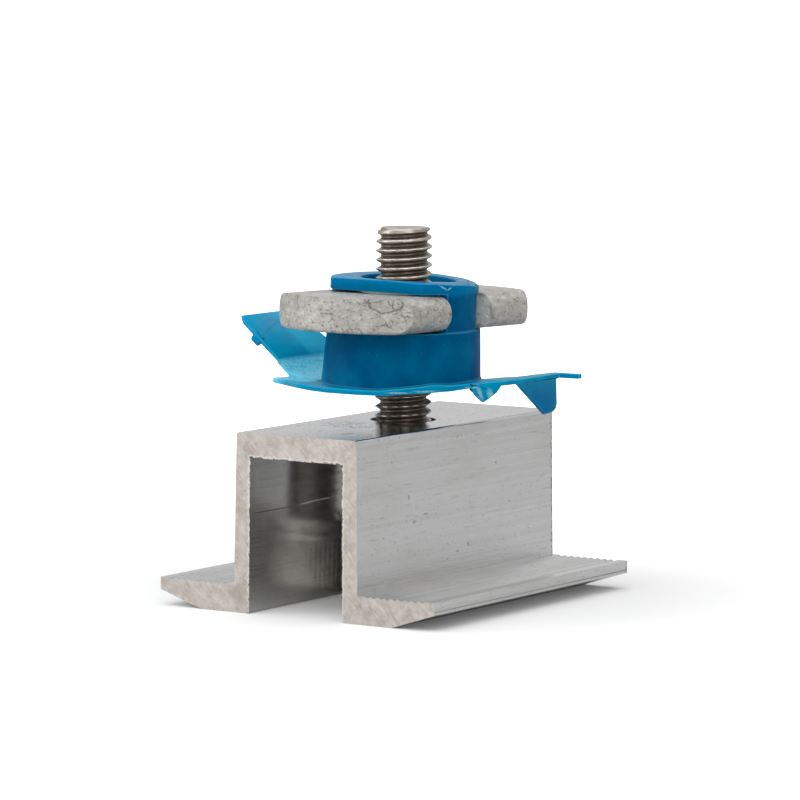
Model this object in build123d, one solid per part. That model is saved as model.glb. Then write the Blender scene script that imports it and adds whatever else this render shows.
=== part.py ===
from build123d import *
import math
import os

os.makedirs("parts", exist_ok=True)

# Frame: millimetres, +Z up, origin on the screw's axis at the level the clamp stands on.
# The clamp stands on its two wings with the screw pointing up; +Y runs along the extrusion.

# Clamp extrusion
profile_length = 50.0
hole_to_near_end = 26.3
profile_height = 24.24
web_thickness = 3.3
web_half_width = 9.5
root_half_width = 9.8
inner_half_top = 7.225
inner_half_bottom = 7.435
wing_half_span = 21.8
wing_top = 3.85
wing_tip_bottom = 2.18
wing_chamfer_width = 6.7
corner_radius = 0.35

# Grip teeth along the wings
tooth_depth = 0.25
tooth_count = 9
tooth_offset = 1.0
tooth_tip_margin = 1.4
tooth_pitch = (wing_half_span - root_half_width - tooth_offset - tooth_tip_margin) / tooth_count

# Screw and its washer
thread_diameter = 7.85
screw_end = 50.5
point_chamfer = 0.8
head_diameter = 13.0
head_height = 8.0
head_edge = 0.7
socket_flats = 6.0
socket_depth = 4.0
washer_diameter = 12.7
washer_clearance = 0.175
washer_thickness = 2.0
washer_slit = 0.8
washer_slit_slant = 25.0
web_hole_diameter = 9.0

# Rail nut: a flat bar with rolled long sides and two bowed cut ends
nut_bottom = 37.0
nut_thickness = 4.8
nut_half_width = 10.85
nut_corner_long = 13.1
nut_corner_short = 9.4
nut_bow = (15.3, 0.69)
nut_turn = 78.5
nut_side_radius = 2.2
nut_cut_edge = 0.5
thread_clearance = 0.05

# Nut holder: drum, two pillars, top plate and thin base plate with its flaps
drum_top = nut_bottom - 0.2
drum_foot = 28.0
drum_radius_top = 10.45
drum_radius_foot = 10.95
drum_bore = 6.3
drum_lean_top = 0.0
drum_lean_foot = -0.4
post_radius_low = 10.05
post_radius_high = 10.13
post_lean_low = -0.1
post_lean_high = 0.16
post_bore = 9.0
pillar_low_y = -3.8
pillar_high_y = 3.4
pillar_gap = 0.3
plate_hole = 6.5
plate_hole_shift = 0.6
plate_thickness = 1.7
plate_chord = 7.0
plate_underside_fall = 0.75
plate_rim = 10.6
nut_gap = 0.1
sheet_thickness = 0.65
flap_thickness = 0.45
flap_slope = 40.0
view_turn = 32.548
tab_edge = 15.0
flap_near = -6.2
sheet_back = 11.0
flap_corner = 1.0
boss_place = (-20.2, 34.55)
boss_inset = 0.6
boss_radius = 0.75
boss_length = 1.3
boss_lean = 50.0
block_rise = 1.0

# Blocks that only cut or trim a piece are this long, which reaches past everything
cut_reach = profile_length

# The base sheet's outline seen from above, then its lower and upper faces as
# (distance across the view, height)
sheet_outline = [
    (-16.5, -7.4),
    (-11.6, -10.3),
    (-7.5, -12.4),
    (-3.5, -13.4),
    (0.5, -13.1),
    (4.4, -12.0),
    (8.9, -9.0),
    (12.6, -3.2),
    (15.2, 0.8),
    (tab_edge, 16.2),
    (18.1, 16.4),
    (18.0, 17.4),
    (13.7, 17.2),
    (12.9, 12.4),
    (12.9, 8.2),
    (12.0, 4.6),
    (10.3, 3.2),
    (9.2, 5.2),
    (7.6, 7.5),
    (5.0, 9.8),
    (2.0, 12.0),
    (-4.0, 12.1),
    (-11.0, 11.0),
    (-15.1, 9.6),
    (-15.6, -4.2),
]
sheet_warp = [
    (-30.0, 29.1),
    (-17.4, 28.9),
    (-12.0, 28.75),
    (-3.4, 28.65),
    (1.1, 28.93),
    (3.9, 29.05),
    (6.3, 29.15),
    (9.1, 29.45),
    (13.2, 29.64),
    (17.0, 29.5),
    (30.0, 29.5),
]
sheet_crest = [
    (-30.0, 29.8),
    (-17.4, 29.62),
    (-12.0, 29.45),
    (-3.4, 29.35),
    (1.1, 29.8),
    (3.9, 30.12),
    (6.3, 29.98),
    (9.1, 30.08),
    (13.2, 30.3),
    (17.0, 30.15),
    (30.0, 30.15),
]

# The top plate's upper face as (distance across the view, rise above the plate's middle)
plate_crest = [
    (-14.0, 0.22),
    (-2.6, 0.18),
    (4.5, -0.1),
    (8.5, -0.5),
    (9.6, -0.75),
    (10.4, -1.1),
    (14.0, -2.6),
]

# The flap's inner face as (x, z), and its outline seen from above
flap_section = [
    (-9.6, 29.5),
    (-12.6, 29.85),
    (-14.8, 30.5),
    (-16.5, 32.0),
    (-16.6, 32.35),
    (-23.0, 37.75),
]
flap_root = [(-9.6, 29.0), (-14.8, 29.2), (-14.8, 30.5), (-12.6, 29.85), (-9.6, 29.5)]
flap_outline = [
    (-9.4, flap_near),
    (-22.3, flap_near),
    (-23.4, flap_near + flap_corner),
    (-23.4, 5.4),
    (-22.6, 6.6),
    (-15.1, 10.8),
    (-9.4, 10.8),
]

# The tabs: the large one as (y, z), the small one as (distance along the edge it hangs from, z)
big_tab_outline = [
    (4.8, 30.0),
    (12.8, 24.75),
    (14.7, 24.9),
    (15.55, 25.3),
    (15.85, 25.9),
    (15.6, 30.0),
]
small_tab_ends = [(12.6, -3.2), (15.2, 0.8)]
small_tab_outline = [
    (0.1, 29.9),
    (0.42, 29.3),
    (1.03, 28.4),
    (2.06, 27.45),
    (3.11, 28.05),
    (4.1, 28.74),
    (4.7, 29.5),
    (4.7, 30.1),
]


def half_profile_points():
    """Right half of the extrusion's section, as (x, z), from the web's middle round to the cavity."""
    points = [
        (0.0, profile_height),
        (web_half_width, profile_height),
        (root_half_width, wing_top),
    ]
    first = root_half_width + tooth_offset
    for tooth in range(tooth_count):
        start = first + tooth * tooth_pitch
        points.append((start, wing_top))
        points.append((start + tooth_pitch / 2, wing_top - tooth_depth))
    points.append((first + tooth_count * tooth_pitch, wing_top))
    points += [
        (wing_half_span, wing_top),
        (wing_half_span, wing_tip_bottom),
        (wing_half_span - wing_chamfer_width, 0.0),
        (inner_half_bottom, 0.0),
        (inner_half_top, profile_height - web_thickness),
        (0.0, profile_height - web_thickness),
    ]
    return points


def section_prism(points, near, far):
    """Solid with the (x, z) section given, running along Y from near to far."""
    face = make_face(Polyline([(x, near, z) for x, z in points], close=True))
    return extrude(face, amount=far - near, dir=(0, 1, 0))


def plan_prism(points, low, high):
    """Solid with the (x, y) outline given, from height low to high."""
    face = make_face(Polyline([(x, y, low) for x, y in points], close=True))
    return extrude(face, amount=high - low, dir=(0, 0, 1))


def ring(outer, inner, low, high):
    """Upright tube about the screw's axis."""
    middle = (low + high) / 2
    tube = Cylinder(outer, high - low) - Cylinder(inner, 2 * (high - low))
    return Pos(0, 0, middle) * tube


def clamp_profile():
    """Top-hat extrusion with toothed wings and one clearance hole."""
    right = half_profile_points()
    left = [(-x, z) for x, z in reversed(right) if x > 0]
    bar = section_prism(right + left, -hole_to_near_end, profile_length - hole_to_near_end)
    outer_edges = bar.edges().filter_by(Axis.Y).filter_by(
        lambda edge: edge.center().Z > profile_height - 0.01 or edge.center().Z < 0.01
    )
    inner_edges = bar.edges().filter_by(Axis.Y).filter_by(
        lambda edge: abs(edge.center().Z - (profile_height - web_thickness)) < 0.01
    )
    bar = fillet(list(outer_edges) + list(inner_edges), corner_radius)
    hole = Pos(0, 0, profile_height) * Cylinder(web_hole_diameter / 2, 4 * web_thickness)
    return bar - hole


def cap_screw():
    """Socket cap screw standing on its head; the thread is its major diameter."""
    head = Pos(0, 0, head_height / 2) * Cylinder(head_diameter / 2, head_height)
    floor_edge = head.edges().filter_by(GeomType.CIRCLE).sort_by(Axis.Z)[0]
    head = fillet(floor_edge, head_edge)
    shank_length = screw_end - head_height / 2
    shank = Pos(0, 0, screw_end - shank_length / 2) * Cylinder(thread_diameter / 2, shank_length)
    point_edge = shank.edges().filter_by(GeomType.CIRCLE).sort_by(Axis.Z)[-1]
    shank = chamfer(point_edge, point_chamfer)
    hexagon = RegularPolygon(socket_flats / 2, 6, major_radius=False)
    socket = extrude(hexagon, amount=socket_depth)
    return head + shank - socket


def spring_washer():
    """Split lock washer lying on the screw head."""
    inner = thread_diameter / 2 + washer_clearance
    low = head_height
    band = ring(washer_diameter / 2, inner, low, low + washer_thickness)
    slit = Box(washer_diameter, washer_slit, 4 * washer_thickness)
    slit = Pos(-washer_diameter / 2, 0, low + washer_thickness / 2) * Rot(washer_slit_slant, 0, 0) * slit
    return band - slit


def rail_nut():
    """Twisted-end rail nut with a threaded hole and two side notches."""
    half = nut_thickness / 2
    bar = Box(4 * nut_corner_long, 2 * nut_half_width, nut_thickness)
    side_edges = bar.edges().filter_by(Axis.X)
    bar = fillet(side_edges, nut_side_radius)
    a = (-nut_corner_long, nut_half_width)
    b = (-nut_corner_short, -nut_half_width)
    c = (nut_corner_long, -nut_half_width)
    d = (nut_corner_short, nut_half_width)
    bow_x, bow_y = nut_bow
    outline = [
        ThreePointArc(a, (-bow_x, -bow_y), b),
        Line(b, c),
        ThreePointArc(c, (bow_x, bow_y), d),
        Line(d, a),
    ]
    plan = Pos(0, 0, -half) * extrude(make_face(outline), amount=nut_thickness)
    lower_cuts = plan.edges().filter_by(GeomType.CIRCLE).filter_by(lambda edge: edge.center().Z < 0)
    plan = fillet(lower_cuts, nut_cut_edge)
    nut = bar & plan
    nut = Rot(0, 0, nut_turn) * nut
    nut = Pos(0, 0, nut_bottom + half) * nut
    low_y = pillar_low_y - pillar_gap
    high_y = pillar_high_y + pillar_gap
    notch_floor = math.sqrt(post_bore**2 - pillar_low_y**2) - pillar_gap
    notch = Pos(
        notch_floor + nut_half_width / 2,
        (low_y + high_y) / 2,
        nut_bottom + half,
    ) * Box(nut_half_width, high_y - low_y, 2 * nut_thickness)
    nut = nut - notch - Rot(0, 0, 180) * notch
    hole_radius = thread_diameter / 2 + thread_clearance
    return nut - Pos(0, 0, nut_bottom + half) * Cylinder(hole_radius, 2 * nut_thickness)


def across_view(points):
    """Solid whose section in the photographed direction is the (u, z) points given."""
    direction = (-math.sin(math.radians(view_turn)), math.cos(math.radians(view_turn)), 0)
    corners = []
    for u, z in points:
        x = u * math.cos(math.radians(view_turn)) - cut_reach * direction[0]
        y = u * math.sin(math.radians(view_turn)) - cut_reach * direction[1]
        corners.append((x, y, z))
    return extrude(make_face(Polyline(corners, close=True)), amount=2 * cut_reach, dir=direction)


def base_sheet():
    """Thin warped base plate with its arm, its ear and the two turned-down tabs."""
    below = across_view(sheet_warp + [(cut_reach, 0.0), (-cut_reach, 0.0)])
    warped = across_view(sheet_warp + sheet_crest[::-1])
    sheet = warped & plan_prism(sheet_outline, 0.0, cut_reach)
    return sheet, below


def left_flap():
    """Flap bent up and outwards from the plate's left edge, with a small round boss."""
    drop = flap_thickness / math.cos(math.radians(flap_slope))
    section = flap_section + [(x, z - drop) for x, z in reversed(flap_section)]
    band = section_prism(section, flap_near, sheet_back) + section_prism(flap_root, flap_near, sheet_back)
    flap = band & plan_prism(flap_outline, 0.0, cut_reach)
    boss_x, boss_z = boss_place
    boss = Cylinder(boss_radius, boss_length)
    boss = Pos(boss_x, flap_near + boss_inset, boss_z) * Rot(0, -boss_lean, 0) * boss
    return flap + boss


def right_tabs():
    """Two tabs turned down from the plate's right edge."""
    inner_face = tab_edge - sheet_thickness
    face = make_face(Polyline([(inner_face, y, z) for y, z in big_tab_outline], close=True))
    big_tab = extrude(face, amount=sheet_thickness, dir=(1, 0, 0))
    start, end = small_tab_ends
    length = math.dist(start, end)
    along = ((end[0] - start[0]) / length, (end[1] - start[1]) / length)
    corners = [(start[0] + s * along[0], start[1] + s * along[1], z) for s, z in small_tab_outline]
    small_face = make_face(Polyline(corners, close=True))
    small_tab = extrude(small_face, amount=sheet_thickness, dir=(-along[1], along[0], 0))
    return big_tab + small_tab


def across_place(u, z):
    """Place at the distance u across the photographed direction, at the height z."""
    return Pos(u * math.cos(math.radians(view_turn)), u * math.sin(math.radians(view_turn)), z)


def wall(low, radius_low, lean_low, high, radius_high, lean_high):
    """Round tapered block whose middle leans from one height to the other."""
    foot = across_place(lean_low, low) * Circle(radius_low)
    head = across_place(lean_high, high) * Circle(radius_high)
    return loft([foot, head])


def falling_prism(low, height, fall, start):
    """Everything between the height low and a face falling to the right from the height given."""
    reach = 14.0
    slope = math.tan(math.radians(fall))
    return across_view(
        [
            (-reach, low),
            (reach, low),
            (reach, height - slope * (reach - start)),
            (-reach, height + slope * (reach + start)),
        ]
    )


def upper_part():
    """Two pillars beside the nut and the D-shaped plate over it, lower at the right."""
    plate_low = nut_bottom + nut_thickness + nut_gap
    crown = plate_low + plate_thickness
    block = wall(
        drum_top, post_radius_low, post_lean_low, crown + block_rise, post_radius_high, post_lean_high
    )
    crest = [(u, crown + rise) for u, rise in plate_crest]
    block = block & across_view([(crest[0][0], drum_foot)] + crest + [(crest[-1][0], drum_foot)])
    middle = (pillar_low_y + pillar_high_y) / 2
    sides = Pos(0, middle, nut_bottom) * Box(4 * post_bore, pillar_high_y - pillar_low_y, cut_reach)
    turned = Rot(0, 0, 180) * sides
    right_half = Pos(2 * post_bore, 0, nut_bottom) * Box(4 * post_bore, 4 * post_bore, cut_reach)
    sides = (sides & right_half) + (turned - right_half)
    posts = (block & sides) - Pos(0, 0, nut_bottom) * Cylinder(post_bore, cut_reach)
    under = falling_prism(drum_foot, plate_low, plate_underside_fall, plate_rim)
    hole = across_place(plate_hole_shift, crown) * Cylinder(plate_hole, cut_reach)
    chord = Pos(0, -plate_chord - post_bore, crown) * Box(4 * post_bore, 2 * post_bore, cut_reach)
    plate = block - under - hole - chord
    return posts + plate


def nut_holder():
    """One moulding: drum, pillars, top plate, base plate, flap and tabs."""
    height = drum_top - drum_foot
    drum = wall(drum_foot, drum_radius_foot, drum_lean_foot, drum_top, drum_radius_top, drum_lean_top)
    sheet, below = base_sheet()
    body = (drum - below) + sheet + left_flap()
    body = body - Pos(0, 0, drum_foot + height / 2) * Cylinder(drum_bore, 2 * height)
    return body + right_tabs() + upper_part()


nodes = {
    "clamp_profile": clamp_profile(),
    "cap_screw": cap_screw(),
    "spring_washer": spring_washer(),
    "rail_nut": rail_nut(),
    "nut_holder": nut_holder(),
}
for name, shape in nodes.items():
    solids = shape.solids()
    box = shape.bounding_box()
    print(name, "solids", len(solids), "volume", round(shape.volume, 2), "box", box.min, box.max)
    export_step(solids[0] if len(solids) == 1 else shape, f"parts/{name}.step")
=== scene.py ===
# %% [markdown]
# # A solar panel mid clamp, lying upside down
#
# The clamp is an aluminium extrusion that stands on its two toothed wings. A stainless cap screw
# stands up through it, and carries a galvanised rail nut in a blue plastic holder. This lesson
# takes the measured solids as a fixed frame, gives each piece the surface of the real one, and
# lights them as a small product on a white table.

import math

import bpy
from mathutils import Matrix, Vector


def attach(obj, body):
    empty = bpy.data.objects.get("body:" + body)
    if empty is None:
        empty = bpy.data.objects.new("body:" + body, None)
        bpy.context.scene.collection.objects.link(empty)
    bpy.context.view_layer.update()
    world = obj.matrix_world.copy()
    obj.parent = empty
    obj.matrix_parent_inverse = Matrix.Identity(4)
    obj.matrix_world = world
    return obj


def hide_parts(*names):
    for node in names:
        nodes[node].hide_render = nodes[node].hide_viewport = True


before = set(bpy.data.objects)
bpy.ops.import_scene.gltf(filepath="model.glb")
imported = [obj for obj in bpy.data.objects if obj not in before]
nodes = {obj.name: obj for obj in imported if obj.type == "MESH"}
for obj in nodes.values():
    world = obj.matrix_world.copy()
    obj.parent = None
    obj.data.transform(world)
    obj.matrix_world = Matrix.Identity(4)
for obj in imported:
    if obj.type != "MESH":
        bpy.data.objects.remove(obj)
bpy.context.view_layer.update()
print("pieces in the frame:", sorted(nodes))

# %% [markdown]
# ## Colours and nodes
#
# Colours are written as sRGB hex values, because that is how a colour is picked from a picture.
# Blender works with linear light, so one function turns them. A second one adds one shader node
# with its settings and its links, which keeps each material short enough to read, and a third one
# starts a material.


# %% Colour and node helpers
def linear(code):
    """Linear red, green, blue and alpha of an sRGB hex colour."""
    channels = [int(code[i : i + 2], 16) / 255 for i in (1, 3, 5)]
    return [c / 12.92 if c <= 0.04045 else ((c + 0.055) / 1.055) ** 2.4 for c in channels] + [1.0]


def add(tree, kind, inputs=None, **settings):
    """Adds a node, sets its properties, and sets or links each of its named inputs."""
    node = tree.nodes.new("ShaderNode" + kind)
    for name, value in settings.items():
        setattr(node, name, value)
    for name, value in (inputs or {}).items():
        if isinstance(value, bpy.types.NodeSocket):
            tree.links.new(value, node.inputs[name])
        else:
            node.inputs[name].default_value = value
    return node


def blank_material(name):
    """A material with an empty tree but for its output, and the object's own coordinates."""
    material = bpy.data.materials.new(name)
    material.use_nodes = True
    tree = material.node_tree
    tree.nodes.clear()
    output = tree.nodes.new("ShaderNodeOutputMaterial")
    place = tree.nodes.new("ShaderNodeTexCoord").outputs["Object"]
    return material, tree, output, place


print("white is", [round(c, 3) for c in linear("#FFFFFF")])

# %% [markdown]
# ## Patterns sized in millimetres
#
# Every surface here has marks of a known size: drawing lines, saw marks, spangle, dust. A noise
# texture repeats about once per unit, so the coordinates are first divided by the mark's size. A
# mark that is long one way and thin the other is the same noise with different sizes along X, Y
# and Z.


# %% A noise of a given size
def marks(tree, place, size_mm, detail=3.0, roughness=0.55, turn=(0, 0, 0), shift=(0, 0, 0)):
    """Noise from 0 to 1 whose marks are size_mm long along X, Y and Z."""
    scale = [1000.0 / s for s in size_mm]
    turned = add(tree, "Mapping", {"Vector": place, "Rotation": turn, "Location": shift})
    sized = add(tree, "Mapping", {"Vector": turned.outputs[0], "Scale": scale})
    look = {"Vector": sized.outputs[0], "Scale": 1.0, "Detail": detail, "Roughness": roughness}
    return add(tree, "TexNoise", look).outputs["Fac"]


def ramp(tree, factor, stops):
    """A colour ramp through the stops, each a position and a hex colour."""
    node = add(tree, "ValToRGB", {"Fac": factor})
    points = node.color_ramp.elements
    while len(points) < len(stops):
        points.new(0.5)
    for point, (position, colour) in zip(points, stops):
        point.position = position
        point.color = linear(colour)
    return node.outputs["Color"]


def span(tree, factor, low, high, to_low=0.0, to_high=1.0):
    """Maps low..high to to_low..to_high, and holds the ends."""
    limits = {"From Min": low, "From Max": high, "To Min": to_low, "To Max": to_high}
    return add(tree, "MapRange", {"Value": factor, **limits}).outputs[0]


def blend(tree, factor, first, second):
    """Mixes two colours, the second by the factor."""
    node = add(tree, "Mix", data_type="RGBA")
    # A mix of colours takes its factor and its two colours from these sockets, by number.
    for index, value in ((0, factor), (6, first), (7, second)):
        if isinstance(value, bpy.types.NodeSocket):
            tree.links.new(value, node.inputs[index])
        else:
            node.inputs[index].default_value = value
    return node.outputs[2]


def bump(tree, height, depth_mm):
    """A normal that rises by depth_mm where the height is 1."""
    inputs = {"Height": height, "Distance": depth_mm / 1000.0, "Strength": 1.0}
    return add(tree, "Bump", inputs).outputs[0]


def layered(tree, colour, layers):
    """Lays colours over the first; a layer is a mask, its two limits, its strength and a hex colour."""
    for mask, low, high, strength, code in layers:
        colour = blend(tree, span(tree, mask, low, high, 0.0, strength), colour, linear(code))
    return colour


# %% [markdown]
# ## Sums, distances and the surface
#
# A mask is a value from 0 to 1 that says where a colour goes, and masks are multiplied, added and
# compared. Distances come from the piece's own coordinates, so a dent or a stain stays where the
# photograph shows it when the piece moves.


# %% Sums on values
def math_node(tree, operation, first, second=0.0):
    """The result of a sum on values, each a number or a socket."""
    return add(tree, "Math", {0: first, 1: second}, operation=operation).outputs[0]


def times(tree, first, *others):
    """The product of all the values."""
    for other in others:
        first = math_node(tree, "MULTIPLY", first, other)
    return first


def plus(tree, first, *others):
    """The sum of all the values."""
    for other in others:
        first = math_node(tree, "ADD", first, other)
    return first


def minus(tree, first, second):
    """The first value less the second."""
    return math_node(tree, "SUBTRACT", first, second)


def apart(tree, value, middle):
    """How far a value is from the middle one, on either side."""
    return math_node(tree, "ABSOLUTE", minus(tree, value, middle))


def xyz(tree, vector):
    """The three parts of a vector."""
    return add(tree, "SeparateXYZ", {"Vector": vector}).outputs


# %% Distances and the surface shader
def spot(tree, place, centre_mm, size_mm, turn=(0, 0, 0)):
    """Distance from a point on the piece: 0 there, 1 on an ellipsoid of these half sizes."""
    moved = add(tree, "VectorMath", {0: place, 1: [-c / 1000.0 for c in centre_mm]}, operation="ADD")
    turned = add(tree, "Mapping", {"Vector": moved.outputs[0], "Rotation": turn})
    sized = add(tree, "Mapping", {"Vector": turned.outputs[0], "Scale": [1000.0 / s for s in size_mm]})
    return add(tree, "VectorMath", {0: sized.outputs[0]}, operation="LENGTH").outputs["Value"]


def from_axis(tree, place):
    """Distance from the screw's axis."""
    flat = add(tree, "VectorMath", {0: place, 1: (1.0, 1.0, 0.0)}, operation="MULTIPLY")
    return add(tree, "VectorMath", {0: flat.outputs[0]}, operation="LENGTH").outputs["Value"]


def finish_with(tree, output, **inputs):
    """Adds the surface shader with these sockets, and sends it to the output."""
    named = {name.replace("_", " "): value for name, value in inputs.items()}
    shader = add(tree, "BsdfPrincipled", named)
    tree.links.new(shader.outputs[0], output.inputs["Surface"])


print("one metre holds", round(1000 / 0.3), "marks of 0.3 mm")

# %% [markdown]
# ## Mill-finish aluminium
#
# The extrusion comes straight from the die with no anodising. The die leaves fine lines along the
# length, so a reflection stays sharp along the lines and smears across them: the shader's tangent
# runs round the Y axis, and its anisotropy stretches the highlight that way. Handling has left
# dents, short scratches and one faint oval stain, whose places are read off the photograph.

# %% Die lines, rub marks and oxide
mill, tree, output, place = blank_material("mill-finish extruded aluminium")
x, y, z = xyz(tree, place)
# Die lines: 0.3 mm apart and 70 mm long along Y; broader bands 1.8 mm apart.
lines = marks(tree, place, (0.3, 70.0, 0.3), detail=4.0, roughness=0.65)
bands = marks(tree, place, (1.8, 110.0, 1.8), detail=2.0)
# Rub marks: streaks 4 mm long; clouds of oxide 7 to 11 mm across; pits 0.3 to 0.5 mm across.
rubs = marks(tree, place, (0.35, 4.0, 0.35), detail=3.0, shift=(0.02, 0.0, 0.01))
clouds = marks(tree, place, (7.0, 11.0, 7.0), detail=4.0)
pits = marks(tree, place, (0.3, 0.5, 0.3), detail=1.0, shift=(0.03, 0.01, 0.02))
colour = ramp(tree, span(tree, lines, 0.3, 0.7), [(0.0, "#C8C8C7"), (1.0, "#DADADA")])
worn_layers = (
    (bands, 0.35, 0.65, 0.35, "#DCDCDD"),
    (clouds, 0.45, 0.7, 0.3, "#BEBBB6"),
    (rubs, 0.6, 0.72, 0.4, "#A5A19C"),
    (pits, 0.7, 0.75, 0.55, "#726E6A"),
)
colour = layered(tree, colour, worn_layers)
print("layers over the bare metal:", len(worn_layers))

# %% Dents and a stain
# Dents on the right wall and the web, as X, Y, Z of each middle and its three half sizes.
dent_places = (
    ((9.7, -13.6, 15.6), (0.5, 0.3, 0.5)),
    ((9.7, -12.2, 12.1), (0.5, 0.6, 0.25)),
    ((9.7, -9.4, 12.9), (0.5, 0.9, 0.15)),
    ((9.75, 1.3, 7.7), (0.5, 0.35, 0.3)),
    ((9.75, -1.4, 7.0), (0.5, 0.5, 0.16)),
    ((9.65, 8.6, 18.2), (0.5, 0.3, 0.25)),
    ((-2.6, -7.9, 24.24), (1.8, 0.5, 0.5)),
    ((4.2, -20.4, 24.24), (0.7, 1.5, 0.5)),
)
dents = 1.0
for centre, size in dent_places:
    near = spot(tree, place, centre, size)
    dents = math_node(tree, "MINIMUM", dents, span(tree, near, 0.5, 1.0))
colour = blend(tree, span(tree, dents, 0.0, 1.0, 0.5, 0.0), colour, linear("#716D69"))
# The stain on the right wall is the outline of an oval.
stain = spot(tree, place, (9.65, 6.4, 12.6), (2.0, 4.6, 5.2))
ring = span(tree, apart(tree, stain, 0.85), 0.0, 0.22, 1.0, 0.0)
ring = times(tree, ring, span(tree, clouds, 0.4, 0.6, 0.05, 0.4))
colour = blend(tree, ring, colour, linear("#A7A39D"))
print("dents:", len(dent_places))

# %% The wings' edges and the web's top
wing_lip = 0.0026
web_top = 0.0242
# A thin dark line along each wing's outer edge, where the die left a lip at 2.6 mm: painted shade
# under that lip.
lip_shade = plus(tree, apart(tree, z, wing_lip), times(tree, rubs, 0.0001))
lip_shade = span(tree, lip_shade, 0.00008, 0.00016, 0.6, 0.0)
outward = math_node(tree, "ABSOLUTE", x)
lip_shade = times(tree, lip_shade, span(tree, outward, 0.0216, 0.0217))
colour = blend(tree, lip_shade, colour, linear("#6B625C"))
# Grazes round the screw hole, 1 mm long and dark.
grazes = marks(tree, place, (1.1, 0.5, 0.5), detail=4.0, roughness=0.7, shift=(0.02, 0.03, 0.0))
worn = spot(tree, place, (-1.5, -9.5, 24.24), (8.5, 7.5, 0.6))
grazes = plus(tree, grazes, span(tree, worn, 0.5, 1.0, 0.0, -0.3))
grazes = span(tree, grazes, 0.55, 0.6)
grazes = times(tree, grazes, span(tree, z, web_top - 0.0002, web_top - 0.0001))
colour = blend(tree, times(tree, grazes, 0.75), colour, linear("#4B4743"))
# The web's flat top is smooth and a little greyer, with dark specks.
on_top = span(tree, z, web_top - 0.00005, web_top)
colour = blend(tree, times(tree, on_top, 0.6), colour, linear("#B2B2B4"))
specks = times(tree, span(tree, pits, 0.62, 0.68, 0.0, 0.6), on_top)
colour = blend(tree, specks, colour, linear("#4B4743"))
dull = span(tree, lines, 0.3, 0.7, 0.17, 0.26)
dull = minus(tree, dull, times(tree, on_top, 0.11))
print("web top at", round(web_top * 1000, 1), "mm")

# %% The channel's walls and the far end
channel_half_width = 0.00745
channel_height = 0.0209
# The channel's inner walls were never handled, so they are the smoothest.
inside = span(tree, outward, channel_half_width - 0.00007, channel_half_width, 1.0, 0.0)
below_web = span(tree, z, channel_height + 0.0003, channel_height + 0.0006, 1.0, 0.0)
inside = times(tree, inside, below_web)
dull = minus(tree, dull, times(tree, inside, 0.08))
# A long scratch on the left inner wall: dark at its near end, then torn bright and dull.
slant = math.radians(-1.5)
scratch = spot(tree, place, (-7.3, -9.4, 13.62), (0.6, 6.4, 0.16), turn=(slant, 0, 0))
scratch = span(tree, scratch, 0.6, 1.0, 1.0, 0.0)
scratch = times(tree, scratch, span(tree, rubs, 0.42, 0.52))
groove = spot(tree, place, (-7.3, -20.5, 13.4), (0.6, 6.0, 0.1))
colour = blend(tree, span(tree, groove, 0.6, 1.0, 0.8, 0.0), colour, linear("#3F3A35"))
colour = blend(tree, scratch, colour, linear("#FFFFFF"))
# The far end's edge is torn: dark and bright specks in its last half millimetre.
torn = marks(tree, place, (0.5, 0.5, 0.5), detail=4.0, roughness=0.7, shift=(0.0, 0.01, 0.02))
ends = plus(tree, y, span(tree, torn, 0.35, 0.65, -0.0004, 0.0004))
colour = blend(tree, span(tree, ends, 0.0234, 0.0236, 0.0, 0.7), colour, linear("#4A433D"))
print("channel:", round(2000 * channel_half_width, 1), "by", round(1000 * channel_height, 1), "mm")

# %% Mill-finish extruded aluminium
metal = minus(tree, 1.0, times(tree, inside, 0.2))
metal = times(tree, metal, span(tree, scratch, 0.0, 1.0, 1.0, 0.2))
height = minus(tree, lines, span(tree, pits, 0.7, 0.75))
height = times(tree, height, span(tree, inside, 0.0, 1.0, 1.0, 0.35))
height = minus(tree, height, times(tree, grazes, 2.0))
height = plus(tree, height, times(tree, dents, 2.0))
tangent = add(tree, "Tangent", direction_type="RADIAL", axis="Y")
finish_with(
    tree,
    output,
    Base_Color=colour,
    Metallic=metal,
    Roughness=dull,
    Anisotropic=0.9,
    Tangent=tangent.outputs[0],
    Normal=bump(tree, height, 0.012),
)
print("made", mill.name)

# %% [markdown]
# ## Saw-cut aluminium
#
# Each length is cut off with a circular saw. The ends are a mottled warm grey, browner where the
# cutting oil dried, with faint slanting tooth marks and a few bright torn specks. Round the
# channel's mouth the saw left a ragged little burr.

# %% Tooth marks, oil and grit
sawn, tree, output, place = blank_material("saw-cut aluminium")
x, y, z = xyz(tree, place)
# Tooth marks: 0.25 mm apart and 5 mm long, slanting up to the right; gouges lie steeper.
tooth_slant = math.radians(-40.0)
gouge_slant = math.radians(-58.0)
teeth = marks(tree, place, (5.0, 5.0, 0.25), detail=3.0, turn=(0, tooth_slant, 0))
gouges = marks(
    tree, place, (3.5, 5.0, 0.3), detail=2.0, turn=(0, gouge_slant, 0), shift=(0.01, 0, 0)
)
# Mottle 1 mm across, oil patches 3.2 mm across, grit 0.3 mm across.
mottle = marks(tree, place, (1.0, 1.0, 1.0), detail=6.0, roughness=0.65)
oil = marks(tree, place, (3.2, 3.2, 3.2), detail=4.0, shift=(0.004, 0, 0.002))
grit = marks(tree, place, (0.3, 0.3, 0.3), detail=2.0)
stops = [(0.0, "#B0A8A1"), (0.5, "#C2BBB5"), (1.0, "#CFC9C3")]
colour = ramp(tree, span(tree, mottle, 0.32, 0.68), stops)
sawn_layers = (
    (teeth, 0.5, 0.7, 0.35, "#DAD5CF"),
    (gouges, 0.6, 0.7, 0.4, "#988E86"),
    (oil, 0.52, 0.7, 0.5, "#9F948B"),
    (grit, 0.68, 0.76, 0.6, "#EDE9E4"),
)
colour = layered(tree, colour, sawn_layers)
print("layers over the sawn metal:", len(sawn_layers))

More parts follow.
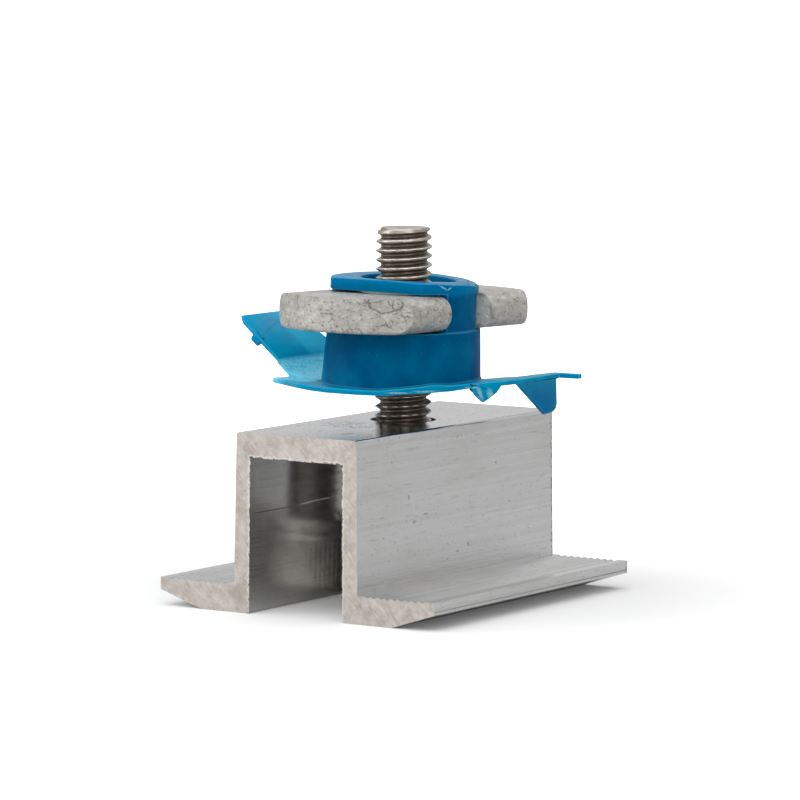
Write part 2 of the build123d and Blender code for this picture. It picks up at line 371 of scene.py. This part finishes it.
# %% Saw-cut aluminium
# The burr: a ragged rim round the channel's mouth, bright, then dark at the very edge.
mouth_half_width = 0.00732
mouth_height = 0.02094
across = minus(tree, math_node(tree, "ABSOLUTE", x), mouth_half_width)
rim = math_node(tree, "MAXIMUM", across, minus(tree, z, mouth_height))
ragged = marks(tree, place, (0.6, 0.6, 0.6), detail=4.0, roughness=0.7, shift=(0.0, 0.0, 0.02))
rim = plus(tree, rim, span(tree, ragged, 0.35, 0.65, -0.0002, 0.0002))
colour = blend(tree, span(tree, rim, 0.00015, 0.0004, 0.7, 0.0), colour, linear("#E6E1DB"))
colour = blend(tree, span(tree, rim, 0.0, 0.0001, 0.9, 0.0), colour, linear("#4E463F"))
height = plus(tree, minus(tree, teeth, gouges), times(tree, mottle, 2.0))
finish_with(
    tree,
    output,
    Base_Color=colour,
    Metallic=0.7,
    Roughness=span(tree, oil, 0.4, 0.7, 0.46, 0.6),
    Normal=bump(tree, height, 0.04),
)
print("made", sawn.name)

# %% [markdown]
# ## Plain stainless steel
#
# The screw and its washer are rolled and left plain. The thread's roots are painted dark, as
# shade, and its crests pale, as a painted highlight. The distance from the screw's axis tells root
# from crest, so it drives the colour.

# %% A2 stainless steel
stainless, tree, output, place = blank_material("plain A2 stainless steel")
x, y, z = xyz(tree, place)
# The thread's root is 3.15 mm from the axis and its crest 3.85 mm. The dark root is painted
# shade, and the pale crest a painted highlight.
stops = [(0.0, "#57504A"), (0.3, "#948C84"), (0.8, "#B4ADA5"), (1.0, "#CBC4BC")]
colour = ramp(tree, span(tree, from_axis(tree, place), 0.00315, 0.00385), stops)
# The free end's flat face, 50.5 mm up, is clean. What lies inside the channel is painted
# lighter, as painted light in there.
colour = blend(tree, span(tree, z, 0.05035, 0.05045), colour, linear("#B2ACA4"))
channel_painted_light = span(tree, z, 0.0205, 0.0215, 0.3, 0.0)
colour = blend(tree, channel_painted_light, colour, linear("#E0DBD4"))
# Tarnish in patches 1.4 mm wide; a fine grain 0.2 mm across.
tarnish = marks(tree, place, (1.4, 1.4, 0.5), detail=4.0)
colour = blend(tree, span(tree, tarnish, 0.45, 0.68, 0.0, 0.5), colour, linear("#75685B"))
finish_with(
    tree,
    output,
    Base_Color=colour,
    Metallic=1.0,
    Roughness=span(tree, tarnish, 0.3, 0.7, 0.26, 0.42),
    Normal=bump(tree, marks(tree, place, (0.2, 0.2, 0.2)), 0.02),
)
print("made", stainless.name)

# %% [markdown]
# ## Hot-dip galvanised steel
#
# The rail nut is dipped in molten zinc and left matt: a warm grey with dark pits, brown specks,
# fine cracks in the zinc and low lumps where it ran. On the near end a run of zinc froze as a
# crescent. Only broad light reflects in it, so it is mostly metal with a high roughness.

# %% Zinc, pits and cracks
galvanised, tree, output, place = blank_material("hot-dip galvanised steel")
x, y, z = xyz(tree, place)
# Mottle under 1 mm across, patches 3 mm, pits 0.4 mm, brown specks 0.8 mm, runs of zinc 3.4 mm.
mottle = marks(tree, place, (0.9, 0.9, 0.7), detail=6.0, roughness=0.65)
patches = marks(tree, place, (3.0, 3.0, 2.0), detail=4.0, shift=(0.01, 0.0, 0.02))
pits = marks(tree, place, (0.4, 0.4, 0.3), detail=3.0, shift=(0.01, 0.02, 0.0))
rust = marks(tree, place, (0.8, 0.8, 0.5), detail=3.0, shift=(0.05, 0.01, 0.03))
runs = marks(tree, place, (3.4, 3.4, 1.8), detail=2.0, shift=(0.02, 0.04, 0.01))
# Cracks: the borders of cells 2.4 mm across, bent by noise, and kept only in some patches.
bend = 0.0016
bent = add(tree, "TexNoise", {"Vector": place, "Scale": 700.0, "Detail": 4.0}).outputs["Color"]
bent = add(tree, "VectorMath", {0: bent, 1: (bend, bend, bend)}, operation="MULTIPLY")
bent = add(tree, "VectorMath", {0: place, 1: bent.outputs[0]}, operation="ADD").outputs[0]
cells = add(tree, "TexVoronoi", {"Vector": bent, "Scale": 420.0}, feature="DISTANCE_TO_EDGE")
cracks = span(tree, cells.outputs["Distance"], 0.0, 0.03, 1.0, 0.0)
cracks = times(tree, cracks, span(tree, patches, 0.53, 0.58))
stops = [(0.0, "#9C9A94"), (0.5, "#B5B3AD"), (1.0, "#C8C7C2")]
colour = ramp(tree, span(tree, mottle, 0.34, 0.66), stops)
zinc_layers = (
    (patches, 0.4, 0.62, 0.5, "#A3A29D"),
    (pits, 0.6, 0.68, 0.65, "#6A655E"),
    (rust, 0.66, 0.76, 0.7, "#75614B"),
    (cracks, 0.0, 1.0, 0.6, "#4E453B"),
)
colour = layered(tree, colour, zinc_layers)
print("layers over the zinc:", len(zinc_layers))

# %% Frozen zinc, painted light in the notches, and brown towards the bottom
# The crescent on the near end, and a ridge under it whose pale colour is a painted highlight.
drip = spot(tree, place, (6.3, -14.4, 41.5), (3.2, 2.6, 2.0), turn=(0, 0, math.radians(-12.0)))
drip = plus(tree, drip, span(tree, mottle, 0.3, 0.7, -0.1, 0.1))
drip_edge = span(tree, apart(tree, drip, 0.9), 0.0, 0.08, 1.0, 0.0)
colour = blend(tree, times(tree, drip_edge, 0.75), colour, linear("#5A534A"))
# The ridge's bump is real; its pale colour is a painted highlight.
ridge_and_highlight = spot(tree, place, (9.0, -13.6, 38.1), (1.8, 1.6, 0.4), turn=(0, math.radians(20.0), 0))
ridge_and_highlight = plus(tree, ridge_and_highlight, span(tree, mottle, 0.3, 0.7, -0.4, 0.4))
colour = blend(tree, span(tree, ridge_and_highlight, 0.7, 1.0, 0.8, 0.0), colour, linear("#DAD6CF"))
# The walls of the two side notches, which the holder's pillars shade, are painted light: a pale
# zinc colour that lifts the pillars' shade.
nut_underside = 0.0370
nut_top = 0.0418
facing = xyz(tree, add(tree, "TexCoord").outputs["Normal"])
notch_painted_light = times(
    tree,
    span(tree, from_axis(tree, place), 0.0119, 0.0123, 0.7, 0.0),
    span(tree, facing[1], -0.6, -0.45, 1.0, 0.0),
    span(tree, z, nut_top - 0.0007, nut_top - 0.0002, 1.0, 0.0),
    span(tree, z, nut_underside + 0.0002, nut_underside + 0.0007),
)
colour = blend(tree, notch_painted_light, colour, linear("#EEE8DC"))
# Brown patches, more of them towards the nut's lower edges.
brown_towards_bottom = minus(tree, rust, span(tree, z, nut_underside, nut_underside + 0.0008, 0.0, 0.18))
colour = blend(tree, span(tree, brown_towards_bottom, 0.5, 0.6, 0.0, 0.6), colour, linear("#6B5A48"))
print("nut:", round((nut_top - nut_underside) * 1000, 2), "mm thick")

# %% Hot-dip galvanised steel
height = minus(tree, times(tree, runs, 2.0), span(tree, pits, 0.6, 0.7))
height = minus(tree, height, cracks)
height = plus(tree, height, span(tree, drip, 0.8, 1.0, 1.0, 0.0))
height = plus(tree, height, span(tree, ridge_and_highlight, 0.6, 1.0, 2.0, 0.0))
finish_with(
    tree,
    output,
    Base_Color=colour,
    Metallic=0.6,
    Roughness=span(tree, mottle, 0.3, 0.7, 0.46, 0.6),
    Normal=bump(tree, height, 0.08),
)
print("made", galvanised.name)

# %% [markdown]
# ## Moulded polypropylene
#
# The holder is dyed polypropylene. Where it is thick it looks deep blue; where it is a thin sheet,
# light comes through and it turns a bright cyan. The thin parts are the ones far from the axis or
# low down, so distance and height drive the colour. The skin is waxy, with specks of dust.

# %% Thick and thin plastic
plastic, tree, output, place = blank_material("moulded polypropylene")
x, y, z = xyz(tree, place)
drum_radius = 0.0108
thin_radius = 0.0128
# Shades of the dye: clouds 5 mm across, and brighter cyan from the drum outwards.
cloud = span(tree, marks(tree, place, (5.0, 5.0, 5.0), detail=3.0), 0.35, 0.65)
deep = ramp(tree, cloud, [(0.0, "#00517F"), (1.0, "#00638D")])
thin = ramp(tree, cloud, [(0.0, "#0086B2"), (1.0, "#0098BE")])
colour = blend(tree, span(tree, from_axis(tree, place), drum_radius, thin_radius), deep, thin)
# The top plate is thinner than the drum, and so a little brighter.
plate = span(tree, z, 0.0415, 0.0422, 0.0, 0.55)
colour = blend(tree, plate, colour, linear("#0081B4"))
# The large tab hangs down thick and dark.
tab = spot(tree, place, (14.7, 11.0, 26.4), (2.0, 6.5, 3.0))
colour = blend(tree, span(tree, tab, 0.5, 1.3, 0.8, 0.0), colour, linear("#0069A0"))
print("thin from", round(thin_radius * 1000, 1), "mm outwards")

# %% The flap
# The flap is palest at its root, where it is frosted in grains 0.5 mm across, except at the
# sheet's near corner. Beyond a crease 2 mm behind the axis it is paler too.
flap_root = 0.0318
on_flap = span(tree, x, -0.0105, -0.0095, 1.0, 0.0)
frost = marks(tree, place, (0.5, 0.5, 0.5), detail=3.0, shift=(0.01, 0.0, 0.0))
low = times(
    tree,
    on_flap,
    span(tree, z, flap_root - 0.0002, flap_root + 0.0004, 1.0, 0.0),
    span(tree, frost, 0.35, 0.6, 0.55, 1.0),
    span(tree, y, -0.0096, -0.0078, 0.15, 1.0),
)
colour = blend(tree, low, colour, linear("#74D2E8"))
behind = times(
    tree,
    on_flap,
    span(tree, y, 0.0012, 0.0026, 0.0, 0.5),
    span(tree, z, flap_root, flap_root + 0.0006),
)
colour = blend(tree, behind, colour, linear("#18B6DA"))
print("the flap's root is at", round(flap_root * 1000, 1), "mm")

# %% Dust and flash
# Specks of dust 0.25 mm across.
dust = marks(tree, place, (0.25, 0.25, 0.25), detail=2.0)
colour = blend(tree, span(tree, dust, 0.72, 0.78, 0.0, 0.45), colour, linear("#7FB4C8"))
# Pale flash, painted as highlights, as X, Y, Z of each middle, its three half sizes and its tilt
# in degrees: a V-shaped nick at the top plate's edge, a whitened patch beside the hole, a thin line
# under the base sheet's near edge, and the whitened bend of the small tab.
flash_and_highlight_places = (
    ((9.2, -4.5, 42.96), (1.0, 0.8, 0.13), 31.0),
    ((9.2, -3.45, 42.82), (1.0, 0.6, 0.13), -28.0),
    ((6.2, 5.1, 43.7), (2.3, 2.1, 0.6), 0.0),
    ((6.2, -11.0, 29.1), (2.0, 1.6, 0.16), 0.0),
    ((9.0, -8.6, 29.3), (2.0, 2.0, 0.16), 0.0),
    ((12.6, -2.4, 29.6), (1.2, 1.8, 0.16), 0.0),
    ((13.4, -1.9, 28.8), (1.2, 0.35, 1.2), -20.0),
    ((14.0, -0.6, 28.6), (1.2, 0.5, 0.9), -20.0),
)
for centre, size, tilt in flash_and_highlight_places:
    flash_and_highlight = spot(tree, place, centre, size, turn=(math.radians(tilt), 0, 0))
    flash_and_highlight = plus(tree, flash_and_highlight, span(tree, dust, 0.3, 0.7, -0.3, 0.3))
    colour = blend(tree, span(tree, flash_and_highlight, 0.4, 1.0, 0.6, 0.0), colour, linear("#A4D3E4"))
print("spots of flash:", len(flash_and_highlight_places))

# %% Moulded polypropylene
scuffs = marks(tree, place, (0.6, 0.6, 2.4), detail=3.0, shift=(0.03, 0.02, 0.0))
# The mould was polished under the flat faces and left matt on the walls.
facing = xyz(tree, add(tree, "TexCoord").outputs["Normal"])
finish_with(
    tree,
    output,
    Base_Color=colour,
    Roughness=span(tree, scuffs, 0.4, 0.7, 0.3, 0.45),
    IOR=1.49,
    Specular_IOR_Level=span(tree, facing[2], 0.8, 0.95, 0.02, 0.25),
    Specular_Tint=linear("#3AA0D0"),
    Subsurface_Weight=0.35,
    Subsurface_Radius=(0.3, 0.8, 1.0),
    Subsurface_Scale=0.0012,
    Normal=bump(tree, marks(tree, place, (2.0, 2.0, 1.5), detail=3.0), 0.06),
)
print("made", plastic.name)

# %% The plastic's edges
# Light gathers in the edges of the dyed plastic, so they show as thin paler lines.
plastic_edge = plastic.copy()
plastic_edge.name = "moulded polypropylene edge"
tree = plastic_edge.node_tree
shader = next(node for node in tree.nodes if node.type == "BSDF_PRINCIPLED")
body_colour = shader.inputs["Base Color"].links[0].from_socket
edge_colour = blend(tree, 0.2, body_colour, linear("#5CC1E4"))
tree.links.new(edge_colour, shader.inputs["Base Color"])
print("made", plastic_edge.name)

# %% [markdown]
# ## The extrusion, the washer, the nut and the holder
#
# These pieces already have their real shape, so they only need their finishes. The extrusion's two
# ends get the saw-cut metal, which is chosen face by face from the direction that each face looks.
# Moulded and coiled edges are never perfectly sharp, so the holder and the washer also get a bevel
# of about a tenth of a millimetre, which catches the light along each edge.


# %% Finishes for the carried-over pieces
smooth_below = math.radians(24.0)
corner_from = math.radians(50.0)
seam_mm = 0.002


def dress(name, materials, choose=None):
    """Gives a frame piece its materials; choose maps a face to one of them."""
    piece = nodes[name]
    piece.data.materials.clear()
    for material in materials:
        piece.data.materials.append(material)
    for face in piece.data.polygons:
        face.use_smooth = True
        face.material_index = choose(face) if choose else 0
    piece.data.set_sharp_from_angle(angle=smooth_below)
    print(name, len(piece.data.polygons), "faces")
    return piece


def soften(piece, edge_mm, edge_slot=-1):
    """Rounds a piece's corners. The faces don't share points there, so they are joined first."""
    weld = piece.modifiers.new("joined seams", "WELD")
    weld.merge_threshold = seam_mm / 1000.0
    bevel = piece.modifiers.new("soft edges", "BEVEL")
    bevel.width = edge_mm / 1000.0
    bevel.segments = 2
    bevel.limit_method = "ANGLE"
    bevel.angle_limit = corner_from
    bevel.use_clamp_overlap = False
    bevel.harden_normals = True
    bevel.material = edge_slot


dress("clamp_profile", [mill, sawn], lambda face: int(abs(face.normal.y) > 0.9))
dress("rail_nut", [galvanised])
soften(dress("spring_washer", [stainless]), 0.1)
soften(dress("nut_holder", [plastic, plastic_edge]), 0.13, edge_slot=1)

# %% [markdown]
# ## The screw
#
# A thread is one continuous helix, so it is easiest to make as a wrapped sheet: rows of points up
# the screw, columns round it, and at each point a radius that depends on how far the point is
# along the thread's pitch. The head is a turned shape with fine knurled grooves round it, and a
# hexagon socket in its end.


# %% A wrapped sheet of points
def wrapped(rows, columns, radius_at, height_at):
    """Points and faces of a closed sheet round Z, row by row, with its two ends filled."""
    points, faces = [], []
    for row in range(rows):
        for column in range(columns):
            angle = 2 * math.pi * column / columns
            r = radius_at(row, angle)
            points.append((r * math.cos(angle), r * math.sin(angle), height_at(row)))
    for row in range(rows - 1):
        for column in range(columns):
            after = (column + 1) % columns
            a = row * columns
            b = a + columns
            faces.append((a + column, a + after, b + after, b + column))
    for row, step in ((0, -1), (rows - 1, 1)):
        points.append((0.0, 0.0, height_at(row)))
        middle = len(points) - 1
        for column in range(columns):
            pair = [row * columns + column, row * columns + (column + 1) % columns]
            faces.append(tuple((pair if step > 0 else pair[::-1]) + [middle]))
    return points, faces


# %% The threaded shank
# Radii, heights and the pitch are in millimetres; the rest are shares of one pitch.
pitch = 1.25
thread_crest = 3.86
thread_root = 3.15
thread_phase = 0.25
root_flat = 0.2
flank = 0.72
rounding = 0.4
shank_low = 7.5
shank_high = 50.5
# The free end: a taper over the last turns, and a small chamfer at the tip.
taper_height = 2.2
taper_slope = 0.16
tip_height = 0.5
rows_per_turn = 16
shank_columns = 64
shank_rows = int((shank_high - shank_low) / pitch * rows_per_turn) + 1


def shank_height(row):
    return shank_low + (shank_high - shank_low) * row / (shank_rows - 1)


def shank_radius(row, angle):
    z = shank_height(row)
    phase = (z / pitch - angle / (2 * math.pi) - thread_phase) % 1.0
    crest = (abs(phase - 0.5) * 2 - root_flat) / flank
    crest = min(max(crest, 0.0), 1.0)
    crest = (1.0 - rounding) * crest + rounding * crest * crest * (3 - 2 * crest)
    r = thread_root + (thread_crest - thread_root) * crest
    taper = thread_crest - max(0.0, z - (shank_high - taper_height)) * taper_slope
    tip = thread_crest - max(0.0, z - (shank_high - tip_height))
    return min(r, taper, tip)


shank_points, shank_faces = wrapped(shank_rows, shank_columns, shank_radius, shank_height)
print("thread turns:", round((shank_high - shank_low) / pitch, 1))

# %% The knurled head
knurls = 60
head_columns = knurls * 4
head_radius = 6.5
knurl_depth = 0.16
socket_half_width = 3.0
mouth_chamfer = 0.3
# Each row is a height, a radius and how deep the knurl is there, in millimetres.
head_rows = [
    (4.0, "socket", 0.0),
    (0.25, "socket", 0.0),
    (0.0, "mouth", 0.0),
    (0.0, 5.75, 0.0),
    (0.1, 6.05, 0.0),
    (0.35, 6.35, 0.0),
    (0.7, head_radius, 0.0),
    (1.0, head_radius, 0.0),
    (1.25, head_radius, knurl_depth),
    (6.8, head_radius, knurl_depth),
    (7.05, head_radius, 0.0),
    (7.75, head_radius, 0.0),
    (8.0, 6.3, 0.0),
    (8.0, 3.5, 0.0),
]


def head_row_height(row):
    return head_rows[row][0]


def head_row_radius(row, angle):
    _, base, knurl = head_rows[row]
    if isinstance(base, str):
        hexagon = socket_half_width / math.cos((angle % (math.pi / 3)) - math.pi / 6)
        return hexagon + (mouth_chamfer if base == "mouth" else 0.0)
    return base - knurl * (0.5 - 0.5 * math.cos(angle * knurls))


head_points, head_faces = wrapped(len(head_rows), head_columns, head_row_radius, head_row_height)
print("rows of the head:", len(head_rows))

# %% The screw in one piece
screw_smooth_below = math.radians(40.0)
offset = len(shank_points)
points = [Vector(p) / 1000.0 for p in shank_points + head_points]
faces = shank_faces + [tuple(i + offset for i in face) for face in head_faces]
screw_mesh = bpy.data.meshes.new("cap_screw_detail")
screw_mesh.from_pydata(points, [], faces)
screw_mesh.materials.append(stainless)
screw_mesh.polygons.foreach_set("use_smooth", [len(face) > 3 for face in faces])
screw_mesh.set_sharp_from_angle(angle=screw_smooth_below)
screw = bpy.data.objects.new("cap_screw_detail", screw_mesh)
bpy.context.scene.collection.objects.link(screw)
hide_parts("cap_screw")
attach(screw, "screw")
print("screw faces:", len(faces))

# %% [markdown]
# ## The table
#
# The photograph's background is plain white with only a short, soft shadow under the wings. The
# floor is a pale sheet lit like the rest. Away from the clamp the lamps reach it less, so there it
# adds a little white of its own where the camera looks at it, and it fades into the white world.
# The clamp itself sees a greyer floor, as the real table was, so its faces keep their depth.

# %% Floor
floor_material, tree, output, place = blank_material("pale table")
path = add(tree, "LightPath")
seen = path.outputs["Is Camera Ray"]
away = from_axis(tree, place)
glow = times(tree, seen, span(tree, away, 0.035, 0.2, 0.05, 0.9))
finish_with(
    tree,
    output,
    Base_Color=blend(tree, seen, linear("#D6D6D6"), linear("#F6F6F6")),
    Roughness=0.9,
    Specular_IOR_Level=0.1,
    Emission_Color=linear("#FFFFFF"),
    Emission_Strength=glow,
)
floor_mesh = bpy.data.meshes.new("table")
half = 3.0
corners = [(-half, -half, 0), (half, -half, 0), (half, half, 0), (-half, half, 0)]
floor_mesh.from_pydata(corners, [], [(0, 1, 2, 3)])
floor_mesh.materials.append(floor_material)
floor = bpy.data.objects.new("table", floor_mesh)
bpy.context.scene.collection.objects.link(floor)
print("floor", 2 * half, "m wide")

# %% [markdown]
# ## Light
#
# The clamp was photographed in a light tent: light comes softly from all round, most of it from
# above. The world gives the soft part: white where the camera sees it, greyer in reflections and
# weaker still as light. Three broad lamps give the faces their different levels.

# %% World
glossy_level = 0.7
diffuse_level = 0.25
world = bpy.data.worlds.new("light tent")
bpy.context.scene.world = world
world.use_nodes = True
tree = world.node_tree
tree.nodes.clear()
output = tree.nodes.new("ShaderNodeOutputWorld")
path = add(tree, "LightPath")
direct = math_node(tree, "MAXIMUM", path.outputs["Is Camera Ray"], path.outputs["Is Transmission Ray"])
mirrored = times(tree, path.outputs["Is Glossy Ray"], glossy_level)
seen = math_node(tree, "MAXIMUM", direct, mirrored)
level = math_node(tree, "MAXIMUM", seen, diffuse_level)
background = add(tree, "Background", {"Color": linear("#FFFFFF"), "Strength": level})
tree.links.new(background.outputs[0], output.inputs["Surface"])
print("world levels:", glossy_level, diffuse_level)


# %% Lamps
lamp_target = Vector((0, 0, 0.02))


def lamp(name, place_mm, size_mm, watts):
    """A square soft lamp that looks at the middle of the clamp."""
    light = bpy.data.lights.new(name, "AREA")
    light.size = size_mm / 1000.0
    light.energy = watts
    stand = bpy.data.objects.new(name, light)
    stand.location = Vector(place_mm) / 1000.0
    aim = lamp_target - stand.location
    stand.rotation_euler = aim.to_track_quat("-Z", "Y").to_euler()
    bpy.context.scene.collection.objects.link(stand)


lamp("overhead", (-10, -200, 620), 1500, 8.5)
lamp("left window", (-620, -420, 260), 500, 1.6)
lamp("right window", (540, -420, 240), 400, 0.8)

# %% [markdown]
# ## The camera
#
# The camera's place was worked out from the corners of the extrusion in the photograph: it stands
# two thirds of a metre away, 33 degrees round from the cut end and 6 degrees up, with a very
# slight lean.

# %% Camera
turn = math.radians(32.548)
rise = math.radians(5.890)
lean = math.radians(0.363)
distance = 0.667652
aside = 0.000093
aim_point = Vector((0.0, -0.001, 0.026974))
level_part = math.cos(rise)
forward = Vector((-math.sin(turn) * level_part, math.cos(turn) * level_part, -math.sin(rise)))
right = Vector((math.cos(turn), math.sin(turn), 0.0))
up = right.cross(forward)
target = right * aside + aim_point
side = right * math.cos(lean) + up * math.sin(lean)
top = -right * math.sin(lean) + up * math.cos(lean)
camera_data = bpy.data.cameras.new("camera")
camera_data.lens = 220.6
camera_data.sensor_width = 36.0
camera = bpy.data.objects.new("camera", camera_data)
rotation = Matrix((side, top, -forward)).transposed()
camera.matrix_world = Matrix.Translation(target - forward * distance) @ rotation.to_4x4()
bpy.context.scene.collection.objects.link(camera)
bpy.context.scene.camera = camera
bpy.context.scene.view_settings.view_transform = "Standard"
print("camera at", [round(c, 4) for c in camera.location])
